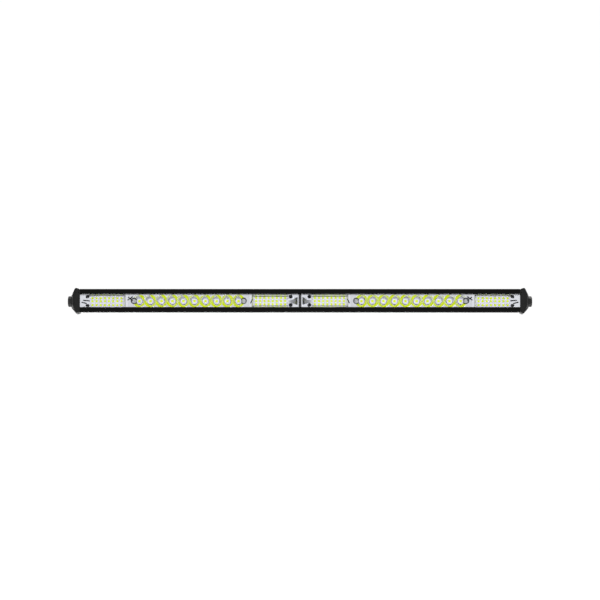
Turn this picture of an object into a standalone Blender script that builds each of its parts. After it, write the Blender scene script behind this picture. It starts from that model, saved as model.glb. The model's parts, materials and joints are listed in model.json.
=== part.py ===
"""Slim single-row LED light bar, 25 inch class, carried on one M8 bolt in each end cap.

Frame, in metres: X runs along the bar, the lit front looks along -Y, and Z is up. The origin
is the middle of the bar, on the line through both end bolts. Lengths called depth are
measured from the front face of the housing, backwards.
"""

import math

import bmesh
import bpy
from mathutils import Matrix, Vector

MM = 0.001
GAP = 0.3 * MM  # clearance between touching solids
REACH = 1.0 * MM  # how far a cutter runs past the face that it opens
SIDES = {"left": -1, "right": 1}
LEVELS = {"lower": -1, "upper": 1}

# Driving dimensions
BODY_DEPTH = 40.0 * MM
HALF_HEIGHT = 16.2 * MM  # housing, front frame
HALF_LENGTH = 306.8 * MM  # housing
WINDOW_HALF = 9.15 * MM  # opening between the two front lips
LED_PITCH_X = 5.8 * MM
SPOT_PITCH = 15.4 * MM
SPOT_COUNT = 10

# The stack behind the window, front to back
LIP = 1.4 * MM
SEAL_THICKNESS = 0.8 * MM
LENS_THICKNESS = 2.2 * MM
REFLECTOR_DEPTH = 7.6 * MM
BOARD_THICKNESS = 1.6 * MM
PAD_THICKNESS = 0.5 * MM
SEAL_FRONT = LIP + GAP
LENS_FRONT = SEAL_FRONT + SEAL_THICKNESS + GAP
REFLECTOR_FRONT = LENS_FRONT + LENS_THICKNESS + GAP
REFLECTOR_BACK = REFLECTOR_FRONT + REFLECTOR_DEPTH
BOARD_FRONT = REFLECTOR_BACK + GAP
PAD_FRONT = BOARD_FRONT + BOARD_THICKNESS + GAP
CAVITY_FLOOR = PAD_FRONT + PAD_THICKNESS + GAP

# Housing section
CAVITY_HALF = 11.2 * MM
CHANNEL_HALF = 4.0 * MM  # wiring channel in the cavity's floor
CHANNEL_FLOOR = CAVITY_FLOOR + 4.7 * MM
FIN_ROOT = CHANNEL_FLOOR + 2.9 * MM
CORNER_ROOT = 32.0 * MM  # the outermost fin gap is shallow, to leave room for a screw port
FIN_HALF = 0.8 * MM
FIN_CENTRES = (8.8 * MM, 4.4 * MM)
OUTER_FIN_INSIDE = 12.6 * MM
FRAME_DEPTH = 7.0 * MM
SHOULDER = (7.8 * MM, 15.7 * MM)  # depth and height where the frame steps down to the sides
REAR_HALF = 14.2 * MM
FRONT_CHAMFER = 1.0 * MM
PORTS = ((5.5 * MM, 13.6 * MM), (27.5 * MM, 11.9 * MM))  # depth and height of screw ports
PORT_RADIUS = 1.6 * MM

# What slides into the housing, each half on its own
INSERT_HALF = CAVITY_HALF - GAP
INSERT_INNER = 1.5 * MM
DIVIDER_HALF = INSERT_INNER - GAP

# Reflector
SPOT_FIRST = 86.0 * MM  # centre of the cup nearest the middle of the bar
FOCAL_LENGTH = 2.3 * MM
FOCUS_DEPTH = REFLECTOR_BACK - 0.8 * MM
# Flood trays: where the floor starts and ends along X, where the slope between tray and cups
# reaches the front, the floor's height above and below the middle, the LED rows, and the X
# and depth where the end ramp stops
TRAYS = {
    "inner": {
        "end": 17.5 * MM,
        "start": 64.5 * MM,
        "crest": 70.5 * MM,
        "top": 6.8 * MM,
        "bottom": 6.3 * MM,
        "rows": (-4.4 * MM, 0.1 * MM, 4.6 * MM),
        "ramp": (0.5 * MM, REFLECTOR_FRONT),
    },
    "outer": {
        "end": 293.4 * MM,
        "start": 246.5 * MM,
        "crest": 240.5 * MM,
        "top": 6.8 * MM,
        "bottom": 8.2 * MM,
        "rows": (-5.6 * MM, -0.1 * MM, 4.1 * MM),
        "ramp": (306.9 * MM, REFLECTOR_FRONT + 2.2 * MM),
    },
}
FLOOD_COLUMNS = 8
FLOOD_LED_HALF = 1.5 * MM
SPOT_LED_HALF = 1.75 * MM
FLOOD_CENTRES = {"inner": 41.1 * MM, "outer": 270.1 * MM}
RAMP_FOOT_HALF = 2.6 * MM
LAND_DEPTH = 9.6 * MM
SCREW_X = {"inner": 13.1 * MM, "outer": 296.3 * MM}
SCREW_Z = 5.9 * MM
SCREW_HOLE = 1.3 * MM

# LED carriers: they lie on the boards, inside the trays or in the reflectors' back grooves
CARRIER_THICKNESS = 0.35 * MM
CARRIER_MARGIN = 0.35 * MM
SPOT_CARRIER_HALF = 3.9 * MM

# Connections inside
HEADER_X = 71.0 * MM
CONNECTOR = (3.2 * MM, 8.2 * MM, 3.0 * MM)  # X from, X to, half height
DRIVER_START = -7.0 * MM
DRIVER_END = 75.0 * MM

# Rear recess with the cable gland and the breather
RECESS_HALF = (30.0 * MM, 7.9 * MM)
RECESS_FLOOR = 24.0 * MM
GLAND_X = -13.0 * MM
VENT_X = 13.0 * MM
CABLE_RADIUS = 3.5 * MM
GLAND_THREAD_RADIUS = 5.6 * MM

# End caps
CAP_HALF = 17.6 * MM
CAP_FOOT_HALF = 16.5 * MM  # where it meets the housing
CAP_PROUD = 0.8 * MM  # beyond the housing's front and back
GASKET_THICKNESS = 0.8 * MM
CAP_INNER = HALF_LENGTH + GASKET_THICKNESS + 2 * GAP
INSERT_OUTER = CAP_INNER - GAP  # what slides into the housing ends just short of the caps
CAP_SHOULDER = 311.4 * MM
CAP_RIM = 312.4 * MM
CAP_SEAT = 320.0 * MM
SEAT_RADIUS = 9.5 * MM
# The nose between rim and seat is fuller above than below. Each section: X, top, bottom,
# distance in from the front and back edges
NOSE = (
    (313.4 * MM, 17.4 * MM, 15.8 * MM, 0.3 * MM),
    (314.9 * MM, 15.4 * MM, 11.9 * MM, 1.0 * MM),
    (316.8 * MM, 10.8 * MM, 7.2 * MM, 1.8 * MM),
)
COUNTERBORE_RADIUS = 7.7 * MM
COUNTERBORE_DEPTH = 2.4 * MM
SCREW_RECESS = 1.6 * MM
NOTCH = (308.2 * MM, 11.2 * MM, 1.0 * MM, 2.5 * MM)  # X, Z, radius, depth
DIMPLE = (312.0 * MM, 10.8 * MM, 0.9 * MM, 0.5 * MM)

# M8 end bolt
BOLT_RADIUS = 3.9 * MM
BOLT_ACROSS_FLATS = 13.0 * MM
BOLT_HEAD = 5.3 * MM
BOLT_GRIP = 10.0 * MM
WASHER_RADIUS = 7.1 * MM
WASHER_THICKNESS = 1.6 * MM

ALONG_X = Matrix.Rotation(math.pi / 2, 4, "Y")  # local Z to +X
ALONG_Y = Matrix.Rotation(-math.pi / 2, 4, "X")  # local Z to +Y, which is depth
SECTION = Matrix.Rotation(math.pi / 2, 4, "Z") @ Matrix.Rotation(math.pi / 2, 4, "X")
SHEET = Matrix.Rotation(math.pi / 2, 4, "X")  # local X to X, local Y to Z


# ---------------------------------------------------------------- scene and materials


def clear_scene():
    for obj in list(bpy.data.objects):
        bpy.data.objects.remove(obj, do_unlink=True)


def new_collection(name):
    collection = bpy.data.collections.new(name)
    bpy.context.scene.collection.children.link(collection)
    return collection


def material(name, colour, roughness, metallic=0.0, alpha=1.0):
    made = bpy.data.materials.new(name)
    made.use_nodes = True
    shader = made.node_tree.nodes["Principled BSDF"]
    shader.inputs["Base Color"].default_value = (*colour, 1.0)
    shader.inputs["Roughness"].default_value = roughness
    shader.inputs["Metallic"].default_value = metallic
    shader.inputs["Alpha"].default_value = alpha
    return made


def make_materials():
    return {
        "anodised": material("black_anodised", (0.012, 0.012, 0.013), 0.42, 0.6),
        "powder": material("black_powder_coat", (0.022, 0.022, 0.022), 0.6),
        "steel": material("black_zinc_steel", (0.03, 0.03, 0.032), 0.4, 0.8),
        "lens": material("clear_polycarbonate", (0.95, 0.97, 1.0), 0.03, 0.0, 0.2),
        "silicone": material("black_silicone", (0.015, 0.015, 0.015), 0.7),
        "chrome": material("metallised_plastic", (0.85, 0.86, 0.88), 0.06, 1.0),
        "board": material("white_solder_mask", (0.83, 0.82, 0.86), 0.45),
        "phosphor": material("yellow_phosphor", (0.75, 0.82, 0.05), 0.5),
        "pad": material("grey_thermal_pad", (0.35, 0.37, 0.4), 0.8),
        "circuit": material("green_circuit_board", (0.02, 0.18, 0.07), 0.4),
        "component": material("black_moulded_component", (0.02, 0.02, 0.02), 0.5),
        "capacitor": material("aluminium_can", (0.6, 0.6, 0.62), 0.3, 1.0),
        "connector": material("white_nylon", (0.8, 0.78, 0.72), 0.5),
        "red": material("red_wire_insulation", (0.4, 0.02, 0.02), 0.5),
        "black": material("black_wire_insulation", (0.02, 0.02, 0.02), 0.5),
        "nylon": material("black_nylon", (0.02, 0.02, 0.021), 0.5),
    }


# ---------------------------------------------------------------- shape helpers


def y_at(depth):
    """World Y of a depth behind the housing's front face."""
    return depth - BODY_DEPTH / 2


def circle(centre_x, centre_y, radius, count):
    """Points of a round outline, as a polygon."""
    turns = [2 * math.pi * i / count for i in range(count)]
    return [(centre_x + radius * math.cos(t), centre_y + radius * math.sin(t)) for t in turns]


def place(obj, location=(0, 0, 0), rotation=None):
    obj.matrix_world = Matrix.Translation(location) @ (rotation or Matrix.Identity(4))
    return obj


def mesh_object(name, bm, collection, finish=None, smooth=False):
    bmesh.ops.recalc_face_normals(bm, faces=bm.faces)
    mesh = bpy.data.meshes.new(name)
    bm.to_mesh(mesh)
    bm.free()
    if smooth:
        mesh.shade_smooth()
        mesh.set_sharp_from_angle(angle=math.radians(35))
    obj = bpy.data.objects.new(name, mesh)
    collection.objects.link(obj)
    if finish:
        mesh.materials.append(finish)
    return obj


def boxes(name, spans, collection, finish=None):
    """One object of separate blocks, each given as (low corner, high corner) with depth for Y."""
    bm = bmesh.new()
    for low, high in spans:
        low = Vector((low[0], y_at(low[1]), low[2]))
        high = Vector((high[0], y_at(high[1]), high[2]))
        size = Matrix.Diagonal((*(high - low), 1.0))
        bmesh.ops.create_cube(bm, size=1.0, matrix=Matrix.Translation((low + high) / 2) @ size)
    return mesh_object(name, bm, collection, finish)


def rods(name, rods_at, radius, length, rotation, segments, collection, finish=None):
    """One object of separate cylinders, each centred on its point."""
    bm = bmesh.new()
    for centre in rods_at:
        bmesh.ops.create_cone(
            bm,
            cap_ends=True,
            segments=segments,
            radius1=radius,
            radius2=radius,
            depth=length,
            matrix=Matrix.Translation(centre) @ rotation,
        )
    return mesh_object(name, bm, collection, finish, smooth=True)


def hull(name, points, collection, finish=None):
    """The convex block that just holds these points."""
    bm = bmesh.new()
    for point in points:
        bm.verts.new(point)
    made = bmesh.ops.convex_hull(bm, input=bm.verts)
    spare = {v for v in made["geom_interior"] + made["geom_unused"] if isinstance(v, bmesh.types.BMVert)}
    bmesh.ops.delete(bm, geom=list(spare), context="VERTS")
    return mesh_object(name, bm, collection, finish)


def plate(name, loops, low, high, axes, collection, finish=None):
    """Flat outlines, the first with the others as holes, given thickness from low to high.

    axes is SECTION for an outline in Y and Z with its thickness along X, or SHEET for an
    outline in X and Z whose low and high are depths.
    """
    curve = bpy.data.curves.new(name, "CURVE")
    curve.dimensions = "2D"
    curve.fill_mode = "BOTH"
    curve.extrude = (high - low) / 2
    for loop in loops:
        spline = curve.splines.new("POLY")
        spline.points.add(len(loop) - 1)
        for point, (u, v) in zip(spline.points, loop):
            point.co = (u, v, 0, 1)
        spline.use_cyclic_u = True
    obj = bpy.data.objects.new(name, curve)
    collection.objects.link(obj)
    middle = (low + high) / 2
    centre = (middle, 0, 0) if axes is SECTION else (0, y_at(middle), 0)
    place(obj, centre, axes)
    if finish:
        curve.materials.append(finish)
    return obj


def as_mesh(curve_obj, finish=None):
    """The same shape as a closed mesh, which a Boolean can cut."""
    graph = bpy.context.evaluated_depsgraph_get()
    mesh = bpy.data.meshes.new_from_object(curve_obj.evaluated_get(graph))
    bm = bmesh.new()
    bm.from_mesh(mesh)
    bmesh.ops.remove_doubles(bm, verts=bm.verts, dist=0.01 * MM)
    bmesh.ops.recalc_face_normals(bm, faces=bm.faces)
    bm.to_mesh(mesh)
    bm.free()
    name, collection, matrix = curve_obj.name, curve_obj.users_collection[0], curve_obj.matrix_world.copy()
    bpy.data.objects.remove(curve_obj, do_unlink=True)
    obj = bpy.data.objects.new(name, mesh)
    collection.objects.link(obj)
    obj.matrix_world = matrix
    if finish:
        mesh.materials.clear()
        mesh.materials.append(finish)
    return obj


def turned(name, profile, location, rotation, steps, collection, finish=None, ring=False):
    """A profile of (radius, height) pairs swept once round local Z.

    It runs down its outer side. A ring's profile goes on up its inner side and closes.
    """
    mesh = bpy.data.meshes.new(name)
    edges = [(i, i + 1) for i in range(len(profile) - 1)]
    if ring:
        edges.append((len(profile) - 1, 0))
    mesh.from_pydata([(r, 0, z) for r, z in profile], edges, [])
    obj = bpy.data.objects.new(name, mesh)
    collection.objects.link(obj)
    screw = obj.modifiers.new("turn", "SCREW")
    screw.steps = steps
    screw.render_steps = steps
    screw.use_merge_vertices = True
    screw.merge_threshold = 0.01 * MM
    place(obj, location, rotation)
    if finish:
        mesh.materials.append(finish)
    return obj


def hide_cutters(collection):
    for obj in collection.objects:
        obj.hide_render = True
        obj.display_type = "WIRE"


def cut_with(obj, cutters):
    """Takes every cutter of the collection out of obj."""
    cut = obj.modifiers.new("cut", "BOOLEAN")
    cut.operation = "DIFFERENCE"
    cut.operand_type = "COLLECTION"
    cut.collection = cutters
    hide_cutters(cutters)


def join_to(obj, other):
    """Unites obj with another solid, which stays as a hidden helper."""
    unite = obj.modifiers.new("unite", "BOOLEAN")
    unite.operation = "UNION"
    unite.object = other
    other.hide_render = True
    other.display_type = "WIRE"


def mirrored(half):
    """A closed outline from its upper half, listed front to back along the outside."""
    return half + [(depth, -height) for depth, height in reversed(half)]


def in_section(points):
    """Outline points of (depth, height) as the (Y, Z) that a SECTION plate takes."""
    return [(y_at(depth), height) for depth, height in points]


def screw_places(side):
    """The four reflector screws of one half, as (X, Z)."""
    return [(side * x, s * SCREW_Z) for x in SCREW_X.values() for s in (-1, 1)]


# ---------------------------------------------------------------- housing


def outer_half():
    """Outside of the housing's section above the middle, front lip to rear centre."""
    points = [
        (0, WINDOW_HALF),
        (0, HALF_HEIGHT - FRONT_CHAMFER),
        (FRONT_CHAMFER, HALF_HEIGHT),
        (FRAME_DEPTH, HALF_HEIGHT),
        SHOULDER,
        (BODY_DEPTH, REAR_HALF),
        (BODY_DEPTH, OUTER_FIN_INSIDE),
        (CORNER_ROOT, OUTER_FIN_INSIDE),
    ]
    root = CORNER_ROOT
    for centre in FIN_CENTRES:
        points += [
            (root, centre + FIN_HALF),
            (BODY_DEPTH, centre + FIN_HALF),
            (BODY_DEPTH, centre - FIN_HALF),
            (FIN_ROOT, centre - FIN_HALF),
        ]
        root = FIN_ROOT
    return points + [(FIN_ROOT, FIN_HALF), (BODY_DEPTH, FIN_HALF)]


def inner_half():
    """Inside of the section above the middle, wiring channel to front lip."""
    return [
        (CHANNEL_FLOOR, CHANNEL_HALF),
        (CAVITY_FLOOR, CHANNEL_HALF),
        (CAVITY_FLOOR, CAVITY_HALF),
        (LIP, CAVITY_HALF),
        (LIP, WINDOW_HALF),
    ]


def make_housing(parts, finish):
    inside = [(d, -h) for d, h in reversed(inner_half())] + inner_half()
    ports = [circle(d, s * h, PORT_RADIUS, 12) for d, h in PORTS for s in (-1, 1)]
    loops = [in_section(mirrored(outer_half()) + inside)] + [in_section(port) for port in ports]
    housing = as_mesh(plate("housing", loops, -HALF_LENGTH, HALF_LENGTH, SECTION, parts), finish)

    cutters = new_collection("housing_cutters")
    half_x, half_z = RECESS_HALF
    boxes(
        "recess_cutter",
        [((-half_x, RECESS_FLOOR, -half_z), (half_x, BODY_DEPTH + REACH, half_z))],
        cutters,
    )
    wall_start = CHANNEL_FLOOR - 0.6 * MM
    wall = RECESS_FLOOR + REACH - wall_start
    for name, x, radius in (("gland", GLAND_X, GLAND_THREAD_RADIUS + GAP), ("vent", VENT_X, 3.3 * MM)):
        centre = (x, y_at(wall_start + wall / 2), 0)
        rods(name + "_hole_cutter", [centre], radius, wall, ALONG_Y, 20, cutters)
    hole = 3.8 * MM
    centre_y = y_at(CAVITY_FLOOR - REACH + hole / 2 + REACH / 2)
    for name, side in SIDES.items():
        places = [(x, centre_y, z) for x, z in screw_places(side)]
        rods(f"screw_hole_cutter_{name}", places, SCREW_HOLE, hole + REACH, ALONG_Y, 12, cutters)
    cut_with(housing, cutters)
    return housing


# ---------------------------------------------------------------- window: lens, seals, divider


def make_window(parts, finish):
    for name, sign in (("upper", 1), ("lower", -1)):
        edges = sorted((sign * (WINDOW_HALF + GAP), sign * INSERT_HALF))
        low = (-INSERT_OUTER, SEAL_FRONT, edges[0])
        high = (INSERT_OUTER, SEAL_FRONT + SEAL_THICKNESS, edges[1])
        boxes(f"lens_seal_{name}", [(low, high)], parts, finish["silicone"])
    for name, side in SIDES.items():
        ends = sorted((side * INSERT_INNER, side * INSERT_OUTER))
        low = (ends[0], LENS_FRONT, -INSERT_HALF)
        high = (ends[1], LENS_FRONT + LENS_THICKNESS, INSERT_HALF)
        lens = boxes(f"lens_{name}", [(low, high)], parts, finish["lens"])
        bevel = lens.modifiers.new("edges", "BEVEL")
        bevel.width = 0.4 * MM
        bevel.segments = 1


def make_divider(parts, finish):
    head_half = WINDOW_HALF - GAP
    foot_half = INSERT_HALF - GAP
    outline = mirrored(
        [
            (0.5 * MM, head_half - 0.6 * MM),
            (1.1 * MM, head_half),
            (REFLECTOR_FRONT, head_half),
            (REFLECTOR_FRONT, foot_half),
            (10.4 * MM, foot_half),
        ]
    )
    plate("centre_divider", [in_section(outline)], -DIVIDER_HALF, DIVIDER_HALF, SECTION, parts, finish)


# ---------------------------------------------------------------- reflector


def slanted(near, far, depth):
    """Where the straight line from near to far, each (value, depth), is at this depth."""
    share = (depth - near[1]) / (far[1] - near[1])
    return near[0] + share * (far[0] - near[0])


def tray_cutter(name, tray, side, cutters):
    """The flood tray: a pocket whose walls slope from the window down to the board."""
    points = []
    for depth in (REFLECTOR_FRONT - REACH, REFLECTOR_BACK + REACH):
        start = slanted((tray["crest"], REFLECTOR_FRONT), (tray["start"], REFLECTOR_BACK), depth)
        for key, sign in (("top", 1), ("bottom", -1)):
            rim = (WINDOW_HALF, REFLECTOR_FRONT)
            z = sign * slanted(rim, (tray[key], REFLECTOR_BACK), depth)
            points += [(side * x, y_at(depth), z) for x in (start, tray["end"])]
    hull(name, points, cutters)


def ramp_cutter(name, tray, side, cutters):
    """The long ramp from the tray's floor to the window's end, with a facet on each side."""
    top, top_depth = tray["ramp"]
    inwards = math.copysign(REACH, tray["start"] - tray["end"])
    foot = tray["end"] + inwards
    over = REFLECTOR_FRONT - REACH
    points = []
    for sign in (-1, 1):
        points += [
            (side * foot, y_at(REFLECTOR_BACK), sign * RAMP_FOOT_HALF),
            (side * foot, y_at(over), sign * WINDOW_HALF),
            (side * top, y_at(top_depth), sign * WINDOW_HALF),
            (side * top, y_at(over), sign * WINDOW_HALF),
        ]
    hull(name, points, cutters)


def cup_cutter(name, x, cutters):
    """A paraboloid about the emitter, open at the front and at the board."""
    depths = [REFLECTOR_FRONT - REACH + i * (REFLECTOR_DEPTH + REACH) / 4 for i in range(5)]
    profile = [(0, REFLECTOR_FRONT - REACH)]
    for depth in depths:
        height = FOCUS_DEPTH - depth + FOCAL_LENGTH
        profile.append((math.sqrt(4 * FOCAL_LENGTH * height), depth))
    throat = profile[-1][0]
    profile += [(throat, REFLECTOR_BACK + REACH), (0, REFLECTOR_BACK + REACH)]
    centre = (x, y_at(0), 0)
    # depth runs along local +Z here, so the profile is reversed to run down its outer side
    turned(name, profile[::-1], centre, ALONG_Y, 16, cutters)


def make_reflector(name, side, parts, finish):
    ends = sorted((side * INSERT_INNER, side * INSERT_OUTER))
    low = (ends[0], REFLECTOR_FRONT, -INSERT_HALF)
    high = (ends[1], REFLECTOR_BACK, INSERT_HALF)
    reflector = boxes(f"reflector_{name}", [(low, high)], parts, finish)

    cutters = new_collection(f"reflector_{name}_cutters")
    for i in range(SPOT_COUNT):
        cup_cutter(f"cup_cutter_{name}_{i}", side * (SPOT_FIRST + i * SPOT_PITCH), cutters)
    for zone, tray in TRAYS.items():
        tray_cutter(f"tray_cutter_{name}_{zone}", tray, side, cutters)
        ramp_cutter(f"ramp_cutter_{name}_{zone}", tray, side, cutters)
    land = LAND_DEPTH - REFLECTOR_FRONT + REACH
    land_y = y_at(LAND_DEPTH - land / 2)
    places = [(x, land_y, z) for x, z in screw_places(side)]
    rods(f"land_cutter_{name}", places, 2.2 * MM, land, ALONG_Y, 16, cutters)
    hole = REFLECTOR_BACK - LAND_DEPTH + 2 * REACH
    hole_y = y_at(LAND_DEPTH - REACH + hole / 2)
    places = [(x, hole_y, z) for x, z in screw_places(side)]
    rods(f"hole_cutter_{name}", places, SCREW_HOLE, hole, ALONG_Y, 12, cutters)
    pockets = [(INSERT_INNER - REACH, CONNECTOR[1] + GAP, 9.7 * MM, CONNECTOR[2] + GAP)]
    if side > 0:
        pockets.append((HEADER_X - 2.5 * MM, HEADER_X + 2.5 * MM, 11.7 * MM, 2.5 * MM))
    for i, (near, far, depth, half) in enumerate(pockets):
        ends = sorted((side * near, side * far))
        span = ((ends[0], depth, -half), (ends[1], REFLECTOR_BACK + REACH, half))
        boxes(f"pocket_cutter_{name}_{i}", [span], cutters)
    groove = SPOT_CARRIER_HALF + GAP
    reach = SPOT_FIRST - groove, SPOT_FIRST + (SPOT_COUNT - 1) * SPOT_PITCH + groove
    ends = sorted(side * x for x in reach)
    depth = REFLECTOR_BACK - CARRIER_THICKNESS - GAP
    span = ((ends[0], depth, -groove), (ends[1], REFLECTOR_BACK + REACH, groove))
    boxes(f"groove_cutter_{name}", [span], cutters)
    cut_with(reflector, cutters)


def make_reflector_screws(name, side, parts, finish):
    """Four M2.5 pan-head screws through reflector, board and pad into the housing."""
    head_back = LAND_DEPTH - GAP
    head = 1.2 * MM
    tip = CAVITY_FLOOR + 2.4 * MM
    profile = [
        (0, tip),
        (1.0 * MM, tip),
        (1.0 * MM, head_back),
        (1.9 * MM, head_back),
        (1.9 * MM, head_back - head * 0.55),
        (1.4 * MM, head_back - head),
        (0, head_back - head),
    ]
    for zone, x in SCREW_X.items():
        for level, sign in LEVELS.items():
            at = (side * x, y_at(0), sign * SCREW_Z)
            turned(f"reflector_screw_{name}_{zone}_{level}", profile, at, ALONG_Y, 12, parts, finish)


# ---------------------------------------------------------------- boards, LEDs, pad


def make_board(name, side, parts, finish):
    """The aluminium-core board and the thermal pad behind it, with matching holes."""
    for node, edge, hole, depth, thickness, slot in (
        (f"led_board_{name}", 0.0, SCREW_HOLE, BOARD_FRONT, BOARD_THICKNESS, "board"),
        (f"thermal_pad_{name}", 1.0 * MM, 1.6 * MM, PAD_FRONT, PAD_THICKNESS, "pad"),
    ):
        near, far = side * (INSERT_INNER + edge), side * (INSERT_OUTER - edge)
        half = INSERT_HALF - 0.2 * MM - edge / 2
        loops = [[(near, -half), (far, -half), (far, half), (near, half)]]
        loops += [circle(x, z, hole, 12) for x, z in screw_places(side)]
        if side > 0:
            loops.append(circle(HEADER_X, 0, 1.9 * MM, 12))
        plate(node, loops, depth, depth + thickness, SHEET, parts, finish[slot])


def make_led_array(name, lamps, lamp_half, carrier, parts, helpers, finish):
    """A thin carrier, given as (low X, high X, low Z, high Z), with its LEDs standing on it."""
    back = BOARD_FRONT - GAP
    blocks = [
        ((x - lamp_half, FOCUS_DEPTH, z - lamp_half), (x + lamp_half, back - 0.1 * MM, z + lamp_half))
        for x, z in lamps
    ]
    array = boxes(name, blocks, parts, finish)
    x0, x1, z0, z1 = carrier
    span = ((x0, back - CARRIER_THICKNESS, z0), (x1, back, z1))
    join_to(array, boxes(f"{name}_carrier_helper", [span], helpers))


def make_leds(name, side, parts, helpers, finish):
    columns = [(i - (FLOOD_COLUMNS - 1) / 2) * LED_PITCH_X for i in range(FLOOD_COLUMNS)]
    for zone, centre in FLOOD_CENTRES.items():
        tray = TRAYS[zone]
        lamps = [(side * (centre + dx), z) for dx in columns for z in tray["rows"]]
        x0, x1 = sorted(side * x for x in (tray["start"], tray["end"]))
        edge = CARRIER_MARGIN
        carrier = (x0 + edge, x1 - edge, edge - tray["bottom"], tray["top"] - edge)
        array = f"flood_leds_{name}_{zone}"
        make_led_array(array, lamps, FLOOD_LED_HALF, carrier, parts, helpers, finish)
    centres = sorted(side * (SPOT_FIRST + i * SPOT_PITCH) for i in range(SPOT_COUNT))
    edge = SPOT_CARRIER_HALF
    carrier = (centres[0] - edge, centres[-1] + edge, -edge, edge)
    lamps = [(x, 0) for x in centres]
    make_led_array(f"spot_leds_{name}", lamps, SPOT_LED_HALF, carrier, parts, helpers, finish)


def make_connectors(parts, finish):
    near, far, half = CONNECTOR
    back = BOARD_FRONT - GAP
    for name, side in SIDES.items():
        ends = sorted((side * near, side * far))
        span = ((ends[0], back - 2.7 * MM, -half), (ends[1], back, half))
        boxes(f"board_connector_{name}", [span], parts, finish["connector"])
    wire_length = 2 * (near - GAP)
    for pole, z, slot in (("plus", 1.5 * MM, "red"), ("minus", -1.5 * MM, "black")):
        centre = (0, y_at(11.6 * MM), z)
        rods(f"jumper_lead_{pole}", [centre], 0.6 * MM, wire_length, ALONG_X, 8, parts, finish[slot])


# ---------------------------------------------------------------- driver in the wiring channel


def make_driver(parts, helpers, finish):
    board_back = CHANNEL_FLOOR - GAP
    board_front = board_back - 1.0 * MM
    top = board_front - GAP  # where the components stand
    half = CHANNEL_HALF - 0.5 * MM
    span = ((DRIVER_START, board_front, -half), (DRIVER_END, board_back, half))
    boxes("driver_board", [span], parts, finish["circuit"])

    tall = 2.4 * MM
    for kind, slot, radius, places in (
        ("inductor", "component", 2.5 * MM, (22 * MM, 31 * MM)),
        ("capacitor", "capacitor", 1.7 * MM, (38.5 * MM, 43 * MM)),
    ):
        for i, x in enumerate(places, 1):
            centre = (x, y_at(top - tall / 2), 0)
            rods(f"driver_{kind}_{i}", [centre], radius, tall, ALONG_Y, 16, parts, finish[slot])
    chip = ((50 * MM, top - 1.2 * MM, -2.0 * MM), (56 * MM, top, 2.0 * MM))
    boxes("driver_chip", [chip], parts, finish["component"])
    terminal = ((-6.2 * MM, top - 2.5 * MM, -3.0 * MM), (0.8 * MM, top, 3.0 * MM))
    boxes("input_terminal", [terminal], parts, finish["connector"])

    base = 1.6 * MM
    span = ((HEADER_X - 1.6 * MM, top - base, -2.4 * MM), (HEADER_X + 1.6 * MM, top, 2.4 * MM))
    header = boxes("driver_header", [span], parts, finish["connector"])
    pin_top = 12.2 * MM
    pin_back = top - base / 2
    pins = [(HEADER_X, y_at((pin_top + pin_back) / 2), z) for z in (-1.0 * MM, 1.0 * MM)]
    join_to(header, rods("pins_helper", pins, 0.4 * MM, pin_back - pin_top, ALONG_Y, 8, helpers))


# ---------------------------------------------------------------- gland and breather


def hexagon(name, across_flats, low, high, location, rotation, collection, finish=None):
    """A hexagonal block along local Z, with corners towards local plus and minus Y."""
    bm = bmesh.new()
    radius = across_flats / math.sqrt(3)
    middle = Matrix.Translation((0, 0, (low + high) / 2))
    bmesh.ops.create_cone(
        bm,
        cap_ends=True,
        segments=6,
        radius1=radius,
        radius2=radius,
        depth=high - low,
        matrix=middle,
    )
    return place(mesh_object(name, bm, collection, finish), location, rotation)


def make_gland(parts, helpers, finish):
    at = (GLAND_X, y_at(0), 0)
    flange = RECESS_FLOOR + 1.9 * MM
    flange_back = flange + 2.5 * MM
    collar_end = flange_back + 4.8 * MM
    seal_seat = flange_back + 1.4 * MM
    body = turned(
        "cable_gland_body",
        [
            (4.9 * MM, collar_end),
            (GLAND_THREAD_RADIUS, collar_end),
            (GLAND_THREAD_RADIUS, CHANNEL_FLOOR - 0.2 * MM),
            (CABLE_RADIUS, CHANNEL_FLOOR - 0.2 * MM),
            (CABLE_RADIUS, seal_seat),
            (4.9 * MM, seal_seat),
        ],
        at,
        ALONG_Y,
        20,
        parts,
        finish["nylon"],
        ring=True,
    )
    flats_up = ALONG_Y @ Matrix.Rotation(math.pi / 2, 4, "Z")
    flange_hex = hexagon("flange_helper", 14 * MM, flange, flange_back, at, flats_up, helpers)
    bore = rods(
        "gland_bore_cutter",
        [(GLAND_X, y_at((flange + flange_back) / 2), 0)],
        4.5 * MM,
        flange_back - flange + 2 * REACH,
        ALONG_Y,
        24,
        helpers,
    )
    hollow = flange_hex.modifiers.new("bore", "BOOLEAN")
    hollow.object = bore
    join_to(body, flange_hex)

    turned(
        "cable_gland_seal",
        [
            (4.6 * MM, collar_end - 0.1 * MM),
            (4.6 * MM, seal_seat + GAP),
            (CABLE_RADIUS, seal_seat + GAP),
            (CABLE_RADIUS, collar_end - 0.1 * MM),
        ],
        at,
        ALONG_Y,
        20,
        parts,
        finish["silicone"],
        ring=True,
    )
    nut_start = flange_back + GAP
    nut_end = nut_start + 9.4 * MM
    inside = 5.95 * MM
    inside_end = collar_end + GAP
    turned(
        "cable_gland_nut",
        [
            (4.4 * MM, nut_end),
            (6.2 * MM, nut_end - 1.6 * MM),
            (6.9 * MM, nut_end - 3.6 * MM),
            (6.9 * MM, nut_start + 0.4 * MM),
            (6.6 * MM, nut_start),
            (inside, nut_start),
            (inside, inside_end),
            (CABLE_RADIUS, inside_end),
            (CABLE_RADIUS, nut_end - 0.4 * MM),
        ],
        at,
        ALONG_Y,
        20,
        parts,
        finish["nylon"],
        ring=True,
    )


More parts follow.
